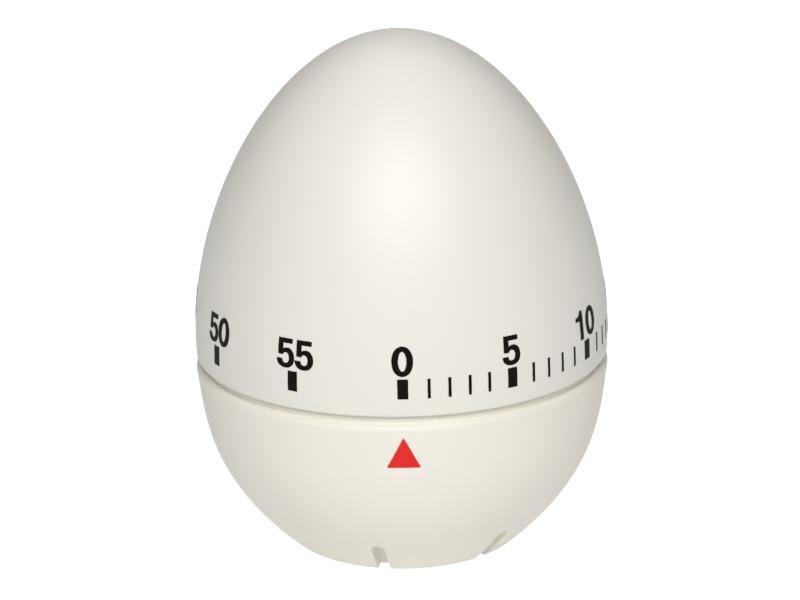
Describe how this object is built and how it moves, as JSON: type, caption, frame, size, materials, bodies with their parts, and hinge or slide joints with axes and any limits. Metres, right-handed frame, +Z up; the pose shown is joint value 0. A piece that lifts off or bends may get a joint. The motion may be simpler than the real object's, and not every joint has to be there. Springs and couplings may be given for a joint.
{
  "type": "kitchen timer",
  "caption": "Egg-shaped wind-up kitchen timer: numbered upper half turns on a pointer-marked base with a geared movement, hammer and bell inside.",
  "frame": {"origin": "middle of the foot ring, on the plane that it stands on", "axes": "+Z up along the egg's axis; the red pointer faces -Y and the numerals grow towards +X"},
  "size_m": [0.0602, 0.0602, 0.075],
  "materials": {
    "dial_plastic": "satin, very fine moulded texture",
    "base_plastic": "satin, slightly warmer ivory",
    "scale_ink": "pad-printed black ink",
    "pointer_ink": "pad-printed red ink",
    "movement_plastic": "plain moulded plastic",
    "plate_steel": "zinc-plated sheet steel",
    "arbor_steel": "turned steel",
    "wheel_brass": "stamped brass",
    "spring_steel": "blued spring steel",
    "bell_steel": "nickel-plated pressed steel",
    "screw_steel": "zinc-plated screw"
  },
  "bodies": {
    "case": {"base_shell": "base_plastic", "pointer_print": "pointer_ink", "base_cover": "base_plastic", "movement_cover": "movement_plastic", "cover_screws": "screw_steel", "bottom_plate": "plate_steel", "top_plate": "plate_steel", "plate_pillars": "arbor_steel", "pillar_rivet_heads": "arbor_steel", "mainspring": "spring_steel", "spring_post": "arbor_steel", "stop_pin": "arbor_steel", "bell": "bell_steel", "bell_post": "arbor_steel", "bell_screw": "screw_steel", "hammer_post": "arbor_steel", "hammer_clip": "spring_steel", "hammer_spring": "spring_steel"},
    "dial": {"top_shell": "dial_plastic", "drive_bush": "movement_plastic", "dial_scale_print": "scale_ink", "main_arbor": "arbor_steel", "clutch_spring": "spring_steel", "clutch_collar": "wheel_brass", "strike_cam": "plate_steel", "stop_arm": "plate_steel"},
    "main_wheel_work": {"main_wheel": "wheel_brass"},
    "second_work": {"second_arbor": "arbor_steel", "second_wheel": "wheel_brass"},
    "third_work": {"third_arbor": "arbor_steel", "third_wheel": "wheel_brass", "strike_star": "plate_steel"},
    "escape_work": {"escape_arbor": "arbor_steel", "escape_wheel": "wheel_brass"},
    "pallet_work": {"pallet_arbor": "arbor_steel", "pallet_lever": "plate_steel", "pallet_pins": "arbor_steel"},
    "hammer": {"hammer_arm": "plate_steel", "hammer_head": "arbor_steel"},
    "release_work": {"release_arbor": "arbor_steel", "release_lever": "plate_steel", "hammer_block": "plate_steel"}
  },
  "joints": [
    {"name": "dial_turn", "type": "hinge", "parent": "case", "child": "dial", "pos_m": [0, 0, 0.0283], "axis": [0, 0, -1], "range_deg": [0, 345]},
    {"name": "main_wheel_turn", "type": "hinge", "parent": "case", "child": "main_wheel_work", "pos_m": [0, 0, 0.0228], "axis": [0, 0, -1], "range_deg": [0, 345]},
    {"name": "second_wheel_turn", "type": "hinge", "parent": "case", "child": "second_work", "pos_m": [-0.01184, -0.00431, 0.0183], "axis": [0, 0, -1], "range_deg": [-2760, 0]},
    {"name": "third_wheel_turn", "type": "hinge", "parent": "case", "child": "third_work", "pos_m": [-0.00622, -0.01209, 0.02], "axis": [0, 0, -1], "range_deg": [0, 19320]},
    {"name": "escape_wheel_turn", "type": "hinge", "parent": "case", "child": "escape_work", "pos_m": [0.00199, -0.01386, 0.0213], "axis": [0, 0, -1], "range_deg": [-115920, 0]},
    {"name": "pallet_rock", "type": "hinge", "parent": "case", "child": "pallet_work", "pos_m": [0.00905, -0.01133, 0.0218], "axis": [0, 0, 1], "range_deg": [-5, 5]},
    {"name": "hammer_swing", "type": "hinge", "parent": "case", "child": "hammer", "pos_m": [-0.00861, -0.00401, 0.0099], "axis": [0, 0, 1], "range_deg": [-4, 9.2]},
    {"name": "release_lever_swing", "type": "hinge", "parent": "case", "child": "release_work", "pos_m": [-0.01011, 0.00848, 0.026], "axis": [0, 0, 1], "range_deg": [-6, 0]}
  ],
  "couplings": [
    {"joint": "main_wheel_turn", "follows": "dial_turn", "ratio": 1},
    {"joint": "second_wheel_turn", "follows": "dial_turn", "ratio": -8},
    {"joint": "third_wheel_turn", "follows": "dial_turn", "ratio": 56},
    {"joint": "escape_wheel_turn", "follows": "dial_turn", "ratio": -336}
  ]
}
